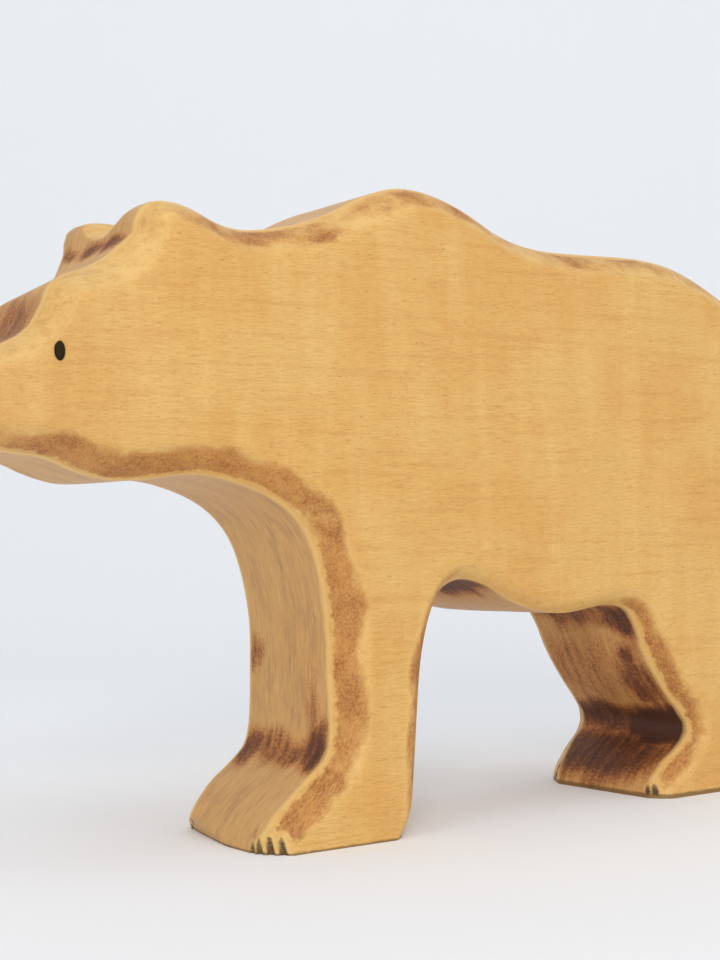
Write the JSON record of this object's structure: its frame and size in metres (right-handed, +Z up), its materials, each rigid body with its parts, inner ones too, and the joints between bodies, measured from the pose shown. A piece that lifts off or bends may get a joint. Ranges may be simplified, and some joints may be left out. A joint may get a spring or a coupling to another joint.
{
  "type": "carved wooden bear figurine",
  "caption": "Free-standing walking bear carved from one thick hardwood board, with chamfered edges, flat soles, two small ears and dark inset eyes.",
  "frame": {"origin": "on the floor under the middle of the bear's bounding box", "axes": "+X from the nose to the tail, +Y from the bear's left flank to its right flank, +Z up"},
  "size_m": [0.1566, 0.032, 0.095],
  "materials": {
    "pale_hardwood": "oiled satin, honey coloured, with brown singed chamfers",
    "dark_wood": "matte, nearly black"
  },
  "bodies": {
    "root": {"bear_body": "pale_hardwood", "eye_left": "dark_wood", "eye_right": "dark_wood"}
  },
  "joints": []
}
